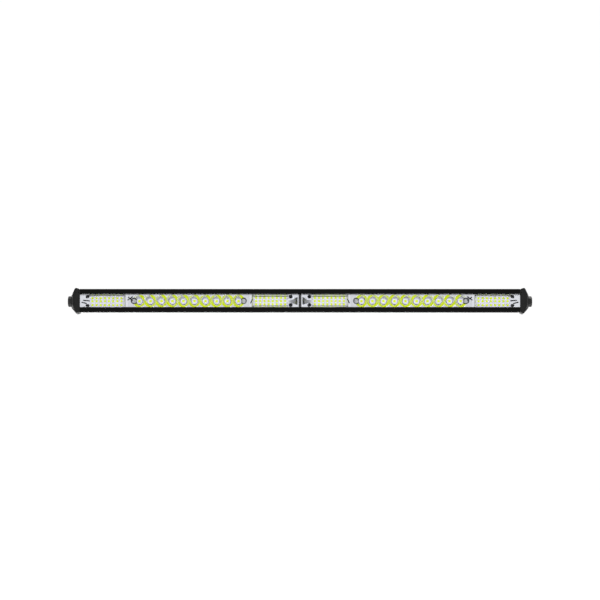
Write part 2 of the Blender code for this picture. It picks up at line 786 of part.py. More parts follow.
def make_vent(parts, finish):
    """Breather plug with a mushroom head, so that the bar can breathe but takes in no water."""
    head = RECESS_FLOOR + 1.9 * MM
    head_back = head + 3.4 * MM
    turned(
        "breather_vent",
        [
            (0, head_back),
            (4.0 * MM, head_back),
            (5.4 * MM, head_back - 1.2 * MM),
            (5.4 * MM, head),
            (3.0 * MM, head),
            (3.0 * MM, CHANNEL_FLOOR + GAP),
            (0, CHANNEL_FLOOR + GAP),
        ],
        (VENT_X, y_at(0), 0),
        ALONG_Y,
        20,
        parts,
        finish,
    )


def make_o_rings(parts, finish):
    for name, x, radius in (("cable_gland", GLAND_X, 6.8 * MM), ("breather", VENT_X, 4.2 * MM)):
        thickness = 0.6 * MM
        section = circle(radius, RECESS_FLOOR + GAP + thickness, thickness, 6)
        turned(
            f"{name}_o_ring",
            section[::-1],
            (x, y_at(0), 0),
            ALONG_Y,
            16,
            parts,
            finish,
            ring=True,
        )


# ---------------------------------------------------------------- end caps


def cap_outline(top, bottom, inset):
    """The cap's section at one X: its height above and below the middle, and its inset."""
    front, back = inset - CAP_PROUD, BODY_DEPTH + CAP_PROUD - inset
    upper, lower = (
        [
            (front, half - 1.0 * MM),
            (front + 1.0 * MM, half),
            (26.0 * MM, half),
            (back, half - 2.6 * MM),
        ]
        for half in (top, bottom)
    )
    return upper + [(depth, -height) for depth, height in reversed(lower)]


def make_end_cap(name, side, parts, finish):
    points = []
    sections = [
        (CAP_INNER, CAP_FOOT_HALF, CAP_FOOT_HALF, CAP_PROUD),
        (CAP_SHOULDER, CAP_HALF, CAP_HALF, 0),
        (CAP_RIM, CAP_HALF, CAP_HALF, 0),
        *NOSE,
    ]
    for x, top, bottom, inset in sections:
        points += [(side * x, *point) for point in in_section(cap_outline(top, bottom, inset))]
    points += [(side * CAP_SEAT, y, z) for y, z in circle(0, 0, SEAT_RADIUS, 24)]
    cap = hull(f"end_cap_{name}", points, parts, finish)

    cutters = new_collection(f"end_cap_{name}_cutters")
    floor = CAP_SEAT - COUNTERBORE_DEPTH
    for label, radius, low, high in (
        ("counterbore", COUNTERBORE_RADIUS, floor, CAP_SEAT + REACH),
        ("bolt_hole", BOLT_RADIUS + GAP, CAP_INNER + 1.5 * MM, floor + REACH),
    ):
        centre = (side * (low + high) / 2, 0, 0)
        rods(f"{label}_cutter_{name}", [centre], radius, high - low, ALONG_X, 24, cutters)
    for label, radius, low, high in (
        ("screw_recess", 3.4 * MM, CAP_RIM - SCREW_RECESS, CAP_SEAT),
        ("screw_hole", PORT_RADIUS, CAP_INNER - REACH, CAP_RIM),
    ):
        places = [(side * (low + high) / 2, y_at(d), s * h) for d, h in PORTS for s in (-1, 1)]
        rods(f"{label}_cutter_{name}", places, radius, high - low, ALONG_X, 12, cutters)
    for label, (x, z, radius, depth) in (("notch", NOTCH), ("dimple", DIMPLE)):
        centre = (side * x, y_at(-CAP_PROUD + depth - 2 * MM), z)
        rods(f"{label}_cutter_{name}", [centre], radius, 4 * MM, ALONG_Y, 10, cutters)
    cut_with(cap, cutters)


def make_end_gasket(name, side, parts, finish):
    outside = mirrored(
        [
            (GAP, HALF_HEIGHT - FRONT_CHAMFER),
            (FRONT_CHAMFER, HALF_HEIGHT - 0.2 * MM),
            (FRAME_DEPTH, HALF_HEIGHT - 0.2 * MM),
            (CORNER_ROOT - 1.0 * MM, REAR_HALF),
        ]
    )
    inside = mirrored([(LIP + GAP, CAVITY_HALF), (CHANNEL_FLOOR, CAVITY_HALF)])
    loops = [outside, inside] + [circle(d, s * h, PORT_RADIUS + GAP, 12) for d, h in PORTS for s in (-1, 1)]
    near = HALF_LENGTH + GAP
    ends = sorted((side * near, side * (near + GASKET_THICKNESS)))
    plate(f"end_gasket_{name}", [in_section(loop) for loop in loops], *ends, SECTION, parts, finish)


def make_end_cap_screws(name, side, parts, helpers, finish):
    """Four pan-head screws, each with a hexagon socket."""
    head_low = CAP_RIM - SCREW_RECESS + GAP
    head_high = head_low + 2.2 * MM
    tip = head_low - 12.0 * MM
    grip_end = head_low + 0.5 * MM
    socket_low, socket_high = head_high - 1.3 * MM, head_high + REACH
    for place_name, (depth, height) in zip(("front", "rear"), PORTS):
        for level, sign in LEVELS.items():
            label = f"{name}_{place_name}_{level}"

            def rod(node, radius, low, high, segments, collection, slot=None):
                centre = (side * (low + high) / 2, y_at(depth), sign * height)
                return rods(node, [centre], radius, high - low, ALONG_X, segments, collection, slot)

            screw = rod(f"end_cap_screw_{label}", 3.0 * MM, head_low, head_high, 16, parts, finish)
            join_to(screw, rod(f"shank_helper_{label}", 1.5 * MM, tip, grip_end, 12, helpers))
            socket = screw.modifiers.new("socket", "BOOLEAN")
            socket.object = rod(f"socket_cutter_{label}", 1.3 * MM, socket_low, socket_high, 6, helpers)


# ---------------------------------------------------------------- end bolts


def make_end_bolt(name, side, parts, helpers, finish):
    """An M8 hexagon bolt with its spring washer, both on the joint's axis."""
    facing = ALONG_X if side > 0 else Matrix.Rotation(math.pi, 4, "Z") @ ALONG_X
    washer_low = CAP_SEAT - COUNTERBORE_DEPTH + GAP
    head_low = washer_low + WASHER_THICKNESS + GAP
    inner, edge = BOLT_RADIUS + GAP, 0.3 * MM
    turned(
        f"spring_washer_{name}",
        [
            (WASHER_RADIUS - edge, WASHER_THICKNESS),
            (WASHER_RADIUS, WASHER_THICKNESS - edge),
            (WASHER_RADIUS, edge),
            (WASHER_RADIUS - edge, 0),
            (inner, 0),
            (inner, WASHER_THICKNESS),
        ],
        (side * washer_low, 0, 0),
        facing,
        24,
        parts,
        finish,
        ring=True,
    )
    at = (side * head_low, 0, 0)
    bolt = hexagon(f"mount_bolt_{name}", BOLT_ACROSS_FLATS, 0, BOLT_HEAD, at, facing, parts, finish)
    shank = turned(
        f"shank_helper_bolt_{name}",
        [
            (0, 1.0 * MM),
            (BOLT_RADIUS, 1.0 * MM),
            (BOLT_RADIUS, 1.0 * MM - BOLT_GRIP),
            (BOLT_RADIUS - 1.0 * MM, -BOLT_GRIP),
            (0, -BOLT_GRIP),
        ],
        at,
        facing,
        24,
        helpers,
    )
    join_to(bolt, shank)


def main():
    clear_scene()
    finish = make_materials()
    parts = new_collection("led_light_bar")
    helpers = new_collection("helpers")
    make_housing(parts, finish["anodised"])
    make_window(parts, finish)
    make_divider(parts, finish["nylon"])
    for name, side in SIDES.items():
        make_reflector(name, side, parts, finish["chrome"])
        make_reflector_screws(name, side, parts, finish["steel"])
        make_board(name, side, parts, finish)
        make_leds(name, side, parts, helpers, finish["phosphor"])
        make_end_cap(name, side, parts, finish["powder"])
        make_end_gasket(name, side, parts, finish["silicone"])
        make_end_cap_screws(name, side, parts, helpers, finish["steel"])
        make_end_bolt(name, side, parts, helpers, finish["steel"])
    make_connectors(parts, finish)
    make_driver(parts, helpers, finish)
    make_gland(parts, helpers, finish)
    make_vent(parts, finish["nylon"])
    make_o_rings(parts, finish["silicone"])
    hide_cutters(helpers)


main()
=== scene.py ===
"""Looks of the LED light bar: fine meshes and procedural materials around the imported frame.

Lengths are metres in the frame's own axes: X along the bar, the lit front towards -Y, Z up.
"""

import json
import math

import bmesh
import bpy
import numpy as np
from mathutils import Matrix, Vector

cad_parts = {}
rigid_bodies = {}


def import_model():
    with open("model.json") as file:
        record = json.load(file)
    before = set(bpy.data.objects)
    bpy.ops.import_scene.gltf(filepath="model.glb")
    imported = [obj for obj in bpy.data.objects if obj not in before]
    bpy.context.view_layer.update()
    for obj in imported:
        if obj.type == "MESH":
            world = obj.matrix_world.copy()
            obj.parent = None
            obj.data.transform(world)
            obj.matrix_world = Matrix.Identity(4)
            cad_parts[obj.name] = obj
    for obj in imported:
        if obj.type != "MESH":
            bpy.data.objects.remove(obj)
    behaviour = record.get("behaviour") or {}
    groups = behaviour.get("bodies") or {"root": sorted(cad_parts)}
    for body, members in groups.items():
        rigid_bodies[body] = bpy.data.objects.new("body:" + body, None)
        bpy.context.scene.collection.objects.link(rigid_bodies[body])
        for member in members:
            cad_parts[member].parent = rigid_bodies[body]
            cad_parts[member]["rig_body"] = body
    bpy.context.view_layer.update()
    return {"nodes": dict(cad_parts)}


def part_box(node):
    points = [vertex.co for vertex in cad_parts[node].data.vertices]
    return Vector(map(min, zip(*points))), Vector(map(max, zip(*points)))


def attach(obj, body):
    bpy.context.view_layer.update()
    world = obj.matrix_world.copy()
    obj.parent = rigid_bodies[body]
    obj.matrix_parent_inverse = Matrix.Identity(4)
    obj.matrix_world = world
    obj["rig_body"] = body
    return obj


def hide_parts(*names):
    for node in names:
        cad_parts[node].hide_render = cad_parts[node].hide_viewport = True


MM = 0.001
GAP = 0.3 * MM  # clearance that the CAD model keeps between touching solids
SIDES = {"left": -1, "right": 1}
LEVELS = ("lower", "upper")

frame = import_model()


# ---------------------------------------------------------------- materials


def add(tree, kind, inputs=None, **settings):
    """A new shader node; an input is given as a value or as another node's output."""
    node = tree.nodes.new(kind)
    for name, value in settings.items():
        setattr(node, name, value)
    for socket, value in (inputs or {}).items():
        if isinstance(value, bpy.types.NodeSocket):
            tree.links.new(value, node.inputs[socket])
        else:
            node.inputs[socket].default_value = value
    return node


def noise(tree, coords, size, detail=2.0):
    """Soft noise, from 0 to 1, whose patches are about this size."""
    settings = {"Vector": coords, "Scale": 1 / size, "Detail": detail}
    return add(tree, "ShaderNodeTexNoise", settings).outputs["Fac"]


def granules(tree, coords, size):
    """Fine cells of about this size, 0 at the middle of each."""
    settings = {"Vector": coords, "Scale": 1 / size}
    return add(tree, "ShaderNodeTexVoronoi", settings).outputs["Distance"]


def blended(tree, factor, low, high):
    """low where the factor is 0 and high where it is 1; each is a colour or a node's output."""
    low, high = (c if isinstance(c, bpy.types.NodeSocket) else (*c, 1) for c in (low, high))
    mix = add(tree, "ShaderNodeMix", {"Factor": factor, "A": low, "B": high}, data_type="RGBA")
    return mix.outputs["Result"]


def ranged(tree, factor, low, high):
    """The factor, stretched from 0.3-0.7, where noise mostly lies, to low-high."""
    settings = {"Value": factor, "From Min": 0.3, "From Max": 0.7, "To Min": low, "To Max": high}
    return add(tree, "ShaderNodeMapRange", settings).outputs["Result"]


def surface(name, dark, light, rough, patch, grain, relief, stretch=(1, 1, 1), cells=False, **sockets):
    """A material with patches of two shades and roughnesses and a fine grain in its relief.

    patch and grain are sizes in metres, relief is the grain's height, and where stretch is under 1
    the pattern is drawn out along that axis. cells makes the grain of cells instead of noise, and
    sockets are values for the shader.
    """
    made = bpy.data.materials.new(name)
    made.use_nodes = True
    tree = made.node_tree
    shader = tree.nodes["Principled BSDF"]
    for socket, value in sockets.items():
        shader.inputs[socket.replace("_", " ")].default_value = value
    coords = add(tree, "ShaderNodeTexCoord").outputs["Object"]
    mapping = add(tree, "ShaderNodeMapping", {"Vector": coords, "Scale": stretch})
    patches = noise(tree, mapping.outputs["Vector"], patch, 4.0)
    texture = granules if cells else noise
    fine = texture(tree, mapping.outputs["Vector"], grain)
    tree.links.new(blended(tree, patches, dark, light), shader.inputs["Base Color"])
    tree.links.new(ranged(tree, patches, *rough), shader.inputs["Roughness"])
    bump = add(tree, "ShaderNodeBump", {"Height": fine, "Strength": 1.0, "Distance": relief})
    tree.links.new(bump.outputs["Normal"], shader.inputs["Normal"])
    return made


def grey(value):
    return (value, value, value)


def attribute(tree, name):
    return add(tree, "ShaderNodeAttribute", attribute_name=name).outputs["Fac"]


# painted shade greys the mirror coating to the first colour, and painted shadow blackens it to the
# second
PAINTED_SHADE_GREY = grey(0.42)
PAINTED_SHADOW_BLACK = grey(0.03)
DULLNESS = 0.35  # how much rougher the dullest coating is


def chrome():
    """Metallised plastic, dull where its mesh says, with painted shade in grey and painted shadow in
    near black.
    """
    made = surface(
        "metallised_plastic", (0.86, 0.865, 0.89), (0.9, 0.9, 0.92), (0.05, 0.1), 5 * MM, 4 * MM,
        0.003 * MM, Metallic=1.0,
    )
    tree = made.node_tree
    shader = tree.nodes["Principled BSDF"]
    bright = shader.inputs["Base Color"].links[0].from_socket
    smooth = shader.inputs["Roughness"].links[0].from_socket
    # painted shade greys the coating and painted shadow blackens it, as far as the mesh's attributes say
    with_painted_shade = blended(tree, attribute(tree, "painted_shade"), bright, PAINTED_SHADE_GREY)
    with_painted_shadow = blended(tree, attribute(tree, "painted_shadow"), with_painted_shade, PAINTED_SHADOW_BLACK)
    tree.links.new(with_painted_shadow, shader.inputs["Base Color"])
    dull = {"Value": attribute(tree, "dull"), "To Min": 0.0, "To Max": DULLNESS}
    rougher = add(tree, "ShaderNodeMapRange", dull)
    total = add(tree, "ShaderNodeMath", {0: smooth, 1: rougher.outputs["Result"]}, operation="ADD")
    tree.links.new(total.outputs[0], shader.inputs["Roughness"])
    return made


def clear_lens():
    """Clear polycarbonate: see-through head on, more mirror-like at a slant, faintly wavy."""
    made = bpy.data.materials.new("clear_polycarbonate")
    made.use_nodes = True
    tree = made.node_tree
    tree.nodes.remove(tree.nodes["Principled BSDF"])
    coords = add(tree, "ShaderNodeTexCoord").outputs["Object"]
    mapping = add(tree, "ShaderNodeMapping", {"Vector": coords, "Scale": (0.15, 1, 1)})
    waves = noise(tree, mapping.outputs["Vector"], 6 * MM)
    bump = add(tree, "ShaderNodeBump", {"Height": waves, "Strength": 1.0, "Distance": 0.01 * MM})
    normal = bump.outputs["Normal"]
    fresnel = add(tree, "ShaderNodeFresnel", {"IOR": 1.12, "Normal": normal})
    clear = add(tree, "ShaderNodeBsdfTransparent", {"Color": (0.97, 0.975, 0.985, 1)})
    gloss = add(tree, "ShaderNodeBsdfGlossy", {"Roughness": 0.04, "Normal": normal})
    inputs = {0: fresnel.outputs[0], 1: clear.outputs[0], 2: gloss.outputs[0]}
    mix = add(tree, "ShaderNodeMixShader", inputs)
    tree.links.new(mix.outputs[0], tree.nodes["Material Output"].inputs["Surface"])
    return made


def make_materials():
    lines = (0.03, 1, 1)  # drawn along the bar
    return {
        "anodised": surface(
            "black_anodised", grey(0.0025), grey(0.004), (0.42, 0.5), 6 * MM, 0.35 * MM, 0.004 * MM,
            stretch=lines, Specular_IOR_Level=0.03,
        ),
        "powder": surface(
            "black_powder_coat", grey(0.005), grey(0.01), (0.5, 0.62), 3 * MM, 0.45 * MM, 0.03 * MM,
            Specular_IOR_Level=0.12,
        ),
        "zinc": surface(
            "black_zinc_steel", grey(0.01), grey(0.018), (0.36, 0.5), 1.2 * MM, 0.25 * MM, 0.008 * MM,
            Metallic=0.15, Specular_IOR_Level=0.2,
        ),
        "oxide": surface(
            "black_oxide_screw", grey(0.006), grey(0.012), (0.3, 0.42), 0.8 * MM, 0.15 * MM, 0.004 * MM,
            Specular_IOR_Level=0.4,
        ),
        "silicone": surface(
            "black_silicone", grey(0.004), grey(0.008), (0.6, 0.75), 2 * MM, 0.2 * MM, 0.01 * MM,
            Specular_IOR_Level=0.2,
        ),
        "nylon": surface(
            "black_nylon", grey(0.005), grey(0.009), (0.35, 0.5), 2.5 * MM, 0.3 * MM, 0.012 * MM,
            Specular_IOR_Level=0.35,
        ),
        "chrome": chrome(),
        "board": surface(
            "white_solder_mask", (0.78, 0.76, 0.85), (0.86, 0.85, 0.92), (0.4, 0.5), 3 * MM, 0.4 * MM,
            0.01 * MM,
        ),
        "package": surface(
            "white_led_package", (0.8, 0.79, 0.84), (0.88, 0.87, 0.9), (0.35, 0.45), 1 * MM, 0.3 * MM,
            0.004 * MM,
        ),
        "phosphor": surface(
            "yellow_phosphor", (0.76, 0.96, 0.0), (0.87, 1.0, 0.01), (0.45, 0.6), 0.6 * MM, 0.12 * MM,
            0.01 * MM, cells=True, Specular_IOR_Level=0.1,
        ),
        "solder": surface(
            "tinned_pad", grey(0.6), grey(0.75), (0.25, 0.4), 0.8 * MM, 0.2 * MM, 0.01 * MM,
            Metallic=1.0,
        ),
        "pad": surface(
            "grey_thermal_pad", (0.3, 0.32, 0.35), (0.38, 0.4, 0.43), (0.75, 0.9), 2 * MM, 0.3 * MM,
            0.02 * MM,
        ),
        "circuit": surface(
            "green_circuit_board", (0.01, 0.13, 0.05), (0.03, 0.2, 0.08), (0.3, 0.45), 1.5 * MM,
            0.4 * MM, 0.01 * MM,
        ),
        "component": surface(
            "black_moulded_component", grey(0.015), grey(0.03), (0.45, 0.6), 1 * MM, 0.1 * MM,
            0.006 * MM,
        ),
        "aluminium": surface(
            "aluminium_can", grey(0.62), grey(0.72), (0.25, 0.35), 1 * MM, 0.1 * MM, 0.003 * MM,
            Metallic=1.0,
        ),
        "connector": surface(
            "white_nylon", (0.72, 0.7, 0.62), (0.82, 0.8, 0.74), (0.4, 0.5), 1.5 * MM, 0.3 * MM,
            0.01 * MM,
        ),
        "red": surface(
            "red_insulation", (0.35, 0.01, 0.01), (0.45, 0.03, 0.02), (0.4, 0.5), 1 * MM, 0.2 * MM,
            0.005 * MM,
        ),
        "black": surface(
            "black_insulation", grey(0.01), grey(0.02), (0.4, 0.5), 1 * MM, 0.2 * MM, 0.005 * MM,
        ),
        "lens": clear_lens(),
    }


material = make_materials()


# ---------------------------------------------------------------- piece helpers


def settle(piece, slot, *nodes):
    """Shows the piece instead of these CAD nodes, on the body that they ride on."""
    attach(piece, frame["nodes"][nodes[0]]["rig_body"])
    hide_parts(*nodes)
    return piece


def piece_from(name, bm, finishes, smooth_angle=40):
    """An object of this mesh, smooth across edges that turn less than the angle in degrees."""
    mesh = bpy.data.meshes.new(name)
    bm.to_mesh(mesh)
    bm.free()
    for finish in finishes:
        mesh.materials.append(material[finish])
    mesh.shade_smooth()
    mesh.set_sharp_from_angle(angle=math.radians(smooth_angle))
    piece = bpy.data.objects.new(name, mesh)
    bpy.context.scene.collection.objects.link(piece)
    return piece


def bevelled(piece, width, segments=2, angle=30):
    """Rounds the edges that turn more than the angle in degrees."""
    bevel = piece.modifiers.new("edges", "BEVEL")
    bevel.width = width
    bevel.segments = segments
    bevel.limit_method = "ANGLE"
    bevel.angle_limit = math.radians(angle)
    bevel.harden_normals = True
    bevel.use_clamp_overlap = True
    return piece


def cleaned(node):
    """The CAD node's mesh with whole flat faces instead of triangles."""
    bm = bmesh.new()
    bm.from_mesh(frame["nodes"][node].data)
    bmesh.ops.remove_doubles(bm, verts=bm.verts, dist=0.002 * MM)
    bmesh.ops.dissolve_limit(bm, angle_limit=math.radians(1), verts=bm.verts, edges=bm.edges)
    return bm


def refined(node, finish, slot, width, segments=2, angle=30):
    """The CAD node again, with its edges rounded."""
    piece = piece_from(f"{node}_fine", cleaned(node), [finish], angle)
    return settle(bevelled(piece, width, segments, angle), slot, node)


def value_at(value, angle):
    return value(angle) if callable(value) else value


def vert_at(bm, matrix, radius, angle, height):
    """A new vertex at these places round and along local Z."""
    return bm.verts.new(matrix @ Vector((radius * math.cos(angle), radius * math.sin(angle), height)))


def swept(profile, steps, matrix, closed=False):
    """A profile of (radius, height) swept round local Z; either may be a function of the angle.

    It runs from one end to the other, and a radius of 0 closes it there on the axis. A closed profile
    is a ring's section, and runs round to its start.
    """
    bm = bmesh.new()
    rows = []
    for radius, height in profile:
        if radius == 0:
            rows.append([vert_at(bm, matrix, 0, 0, height)])
            continue
        ring = []
        for i in range(steps):
            angle = 2 * math.pi * i / steps
            ring.append(vert_at(bm, matrix, value_at(radius, angle), angle, value_at(height, angle)))
        rows.append(ring)
    pairs = list(zip(rows, rows[1:])) + ([(rows[-1], rows[0])] if closed else [])
    for low, high in pairs:
        for i in range(steps):
            j = (i + 1) % steps
            corners = [low[i % len(low)], low[j % len(low)], high[j % len(high)], high[i % len(high)]]
            face = list(dict.fromkeys(corners))
            if len(face) > 2:
                bm.faces.new(face)
    bmesh.ops.recalc_face_normals(bm, faces=bm.faces)
    return bm


def loft(bm, rings):
    """Joins each ring of vertices to the next and closes the first and the last with a face."""
    for near, far in zip(rings, rings[1:]):
        for j in range(len(near)):
            k = (j + 1) % len(near)
            bm.faces.new([near[j], near[k], far[k], far[j]])
    bm.faces.new(rings[0][::-1])
    bm.faces.new(rings[-1])
    bmesh.ops.recalc_face_normals(bm, faces=bm.faces)


def hexagon_radius(across_flats):
    """Distance from the axis to a hexagon's side, as a function of the angle."""
    sixth = math.pi / 3

    def radius(angle):
        return across_flats / 2 / math.cos((angle + sixth / 2) % sixth - sixth / 2)

    return radius


def facing(side):
    """Turns local Z to point out of the bar's end on this side."""
    return Matrix.Rotation(side * math.pi / 2, 4, "Y")


BACKWARDS = Matrix.Rotation(-math.pi / 2, 4, "X")  # local Z to +Y
FORWARDS = Matrix.Rotation(math.pi / 2, 4, "X")  # local Z to -Y


def middle_of(node):
    low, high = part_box(node)
    return (low + high) / 2


# ---------------------------------------------------------------- reflector

reflector_low, reflector_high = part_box("reflector_right")
FRONT_Y = reflector_low.y
BACK_Y = reflector_high.y
DEEP = BACK_Y - FRONT_Y
WINDOW_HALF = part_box("lens_seal_upper")[0].z - GAP
SPOT_COUNT = 10
SPOT_CARRIER_HALF = 3.9 * MM
spot_low, spot_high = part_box("spot_leds_right")
SPOT_FIRST = spot_low.x + SPOT_CARRIER_HALF
SPOT_PITCH = (spot_high.x - spot_low.x - 2 * SPOT_CARRIER_HALF) / (SPOT_COUNT - 1)
CUP_RIM = 9.2 * MM
FOCUS_Y = BACK_Y - 0.7 * MM  # near the front of the spot LEDs
CUP_FOOT = 0.7 * MM  # height of the ring of painted shadow at the bottom of each cup
CARRIER_MARGIN = 0.35 * MM
MIRROR_STEP = 0.36 * MM  # the fine grid's spacing along X
MIRROR_ROWS = 81
CREST = 6.0 * MM  # from the end of the floor to the top of the slope between tray and cups
TRENCHES = {  # half height of the end ramps, at the LEDs and at their far end
    "inner": (2.2 * MM, 6.0 * MM),
    "outer": (6.9 * MM, 9.6 * MM),
}
TRENCH_LEAD = 2.0 * MM  # how far the ramp's trench starts before the end of the floor
WALL_CURVE = 5  # how much the slope from the crest down to the floor is hollowed
SOFT = 0.5 * MM  # how far apart two surfaces start to blend
SOFT_CUP = 0.35 * MM  # the same between cups
SOFT_PIT = 0.3 * MM  # the same at pits and screw lands
SOFT_FLOOR = 0.2 * MM  # the same where a groove reaches the board
STEEP = 8.0  # fall of the steepest moulded walls
SCREW_Z = 5.9 * MM  # height of the reflector screws above and below the middle
LAND_RADIUS = 2.2 * MM  # of the raised land under each screw
LAND_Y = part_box("reflector_screw_right_inner_upper")[0].y + 1.5 * MM
TUCK = 0.3 * MM  # how far the inner trays' upper wall runs over the LED carrier
FLANGE = 2.9 * MM  # where the inner ramps meet the flat edge beside the divider
SCORE_HALF = 0.85 * MM  # half width of a groove
SCORE_DEPTH = 0.8 * MM
SCORES = (  # grooves from (x, z) to (x, z), painted dark as shade: by the cups at both ends and on the outer ramps
    ((66.3 * MM, 2.4 * MM), (68.8 * MM, -3.0 * MM)),
    ((234.0 * MM, 5.6 * MM), (240.2 * MM, 1.2 * MM)),
    ((234.6 * MM, 1.0 * MM), (239.6 * MM, 5.0 * MM)),
    ((294.6 * MM, 0.5 * MM), (302.5 * MM, 0.9 * MM)),
    ((298.8 * MM, -3.3 * MM), (304.5 * MM, -1.8 * MM)),
)
PIT_OFFSET = 7.2 * MM  # from the centre of the cup at either end of the row
PIT_RADIUS = 3.8 * MM
PIT_DEPTH = 4.4 * MM
PIT_RIM = 0.7 * MM  # half width of the ring of painted shadow round a pit
PAINTED_SHADOW_FOOT = 0.7 * MM  # how wide the painted shadow is at the foot of the inner trays' walls
PAINTED_SHADOW_BELOW = 0.3 * MM  # how far it reaches below the wall's foot
DARK_RAMP = (7.5 * MM, 4.5 * MM)  # painted shade darkens the inner ramps between these two places
DARK_RAMP_HALF = 4.2 * MM  # half height of that dark patch
SHADED_ABOVE = 7.9 * MM  # beyond these heights, along the window's lips, painted shade darkens the coating
SHADED_BELOW = 8.5 * MM
SHADED_EDGE = 0.3 * MM  # over which it darkens
DULL_SLOPE = (2.1, 2.4)  # the coating gets duller between these two slopes


def make_tray(zone, ramp_end, ramp_y, ramp_curve):
    """Where the flood tray's floor lies in X and Z, where its end ramp stops, and how it bends."""
    low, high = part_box(f"flood_leds_right_{zone}")
    near, far = low.x - CARRIER_MARGIN, high.x + CARRIER_MARGIN
    start, end, away = (far, near, 1) if zone == "inner" else (near, far, -1)
    return {
        "start": start,
        "end": end,
        "crest": start + away * CREST,
        "top": high.z + (-TUCK if zone == "inner" else CARRIER_MARGIN),
        "bottom": -low.z + CARRIER_MARGIN,
        "ramp": (ramp_end, ramp_y, ramp_curve),
        "trench": TRENCHES[zone],
    }


TRAYS = {
    "inner": make_tray("inner", FLANGE, FRONT_Y, 1.2),
    "outer": make_tray("outer", reflector_high.x - 1.0 * MM, FRONT_Y + 2.2 * MM, 1.0),
}


def soft_min(a, b, soft=SOFT):
    """The lesser of two heights, rounded off where they are nearly the same."""
    near = np.maximum(soft - np.abs(a - b), 0) / soft
    return np.minimum(a, b) - near * near * soft / 4


def soft_max(a, b, soft=SOFT):
    return -soft_min(-a, -b, soft)


def wall(value, at_front, at_back):
    """Y of a sloping wall, from its edge on the front plane to its foot at the board."""
    return FRONT_Y + DEEP * (value - at_front) / (at_back - at_front)


def tray_surface(x, z, tray):
    """Y of the tray's floor and walls, run together with its end ramp in the ramp's own trench."""
    away = math.copysign(1, tray["end"] - tray["start"])
    pocket = np.full(x.shape, BACK_Y)
    from_crest = (x - tray["crest"]) / (tray["start"] - tray["crest"])
    for side in (
        wall(z, WINDOW_HALF, tray["top"]),
        wall(z, -WINDOW_HALF, -tray["bottom"]),
        FRONT_Y + DEEP * np.clip(from_crest, 0, 1.5) ** WALL_CURVE,
        BACK_Y - STEEP * away * (x - tray["end"]),
    ):
        pocket = soft_min(pocket, side)
    ramp_x, ramp_y, curve = tray["ramp"]
    beyond = away * (x - tray["end"])
    climb = beyond / abs(ramp_x - tray["end"])
    ramp = BACK_Y + (ramp_y - BACK_Y) * np.maximum(climb, 0) ** curve
    foot_half, end_half = tray["trench"]
    flank = FRONT_Y + STEEP * (foot_half + (end_half - foot_half) * climb - np.abs(z))
    slope = soft_min(soft_min(ramp, flank), BACK_Y)
    slope = np.minimum(slope, BACK_Y + STEEP * (beyond + TRENCH_LEAD))
    return soft_max(pocket, slope)


def cup_surface(x, z, centre):
    """Y of a paraboloid whose rim is on the front plane."""
    reach = FOCUS_Y - FRONT_Y
    focal = (math.sqrt(reach**2 + CUP_RIM**2) - reach) / 2
    return FOCUS_Y + focal - ((x - centre) ** 2 + z**2) / (4 * focal)


def groove(x, z, start, end):
    """1 along the line from start to end, down to 0 at its two edges."""
    run = (end[0] - start[0], end[1] - start[1])
    length = math.hypot(*run)
    along = ((x - start[0]) * run[0] + (z - start[1]) * run[1]) / length
    across = ((x - start[0]) * run[1] - (z - start[1]) * run[0]) / length
    past = np.maximum(np.maximum(-along, along - length), 0)
    return np.maximum(1 - np.hypot(across, past) / SCORE_HALF, 0)


def scored(x, z):
    """1 in the middle of any of the grooves, 0 outside them."""
    return np.maximum.reduce([groove(x, z, start, end) for start, end in SCORES])


def pit_centres():
    return SPOT_FIRST - PIT_OFFSET, SPOT_FIRST + (SPOT_COUNT - 1) * SPOT_PITCH + PIT_OFFSET


def reflector_surface(x, z):
    """Y of the reflector's mirror at each point of the window."""
    deep = np.full(x.shape, FRONT_Y)
    for i in range(SPOT_COUNT):
        deep = soft_max(deep, cup_surface(x, z, SPOT_FIRST + i * SPOT_PITCH), SOFT_CUP)
    for centre in pit_centres():
        off = np.hypot(x - centre, z) - PIT_RADIUS
        pit = FRONT_Y + np.clip(-STEEP * off, -1.0 * MM, PIT_DEPTH)
        deep = soft_max(deep, pit, SOFT_PIT)
    for tray in TRAYS.values():
        deep = soft_max(deep, tray_surface(x, z, tray))
    deep = soft_min(deep + SCORE_DEPTH * scored(x, z), BACK_Y, SOFT_FLOOR)
    for zone in TRAYS:
        for sign in (-1, 1):
            centre = middle_of(f"reflector_screw_right_{zone}_upper").x
            off = np.hypot(x - centre, z - sign * SCREW_Z) - LAND_RADIUS
            deep = soft_max(deep, LAND_Y - STEEP * np.maximum(off, -0.2 * MM), SOFT_PIT)
    return deep


def ramped(value, start, end):
    """0 up to start, 1 from end on, and even between them."""
    return np.clip((value - start) / (end - start), 0, 1)


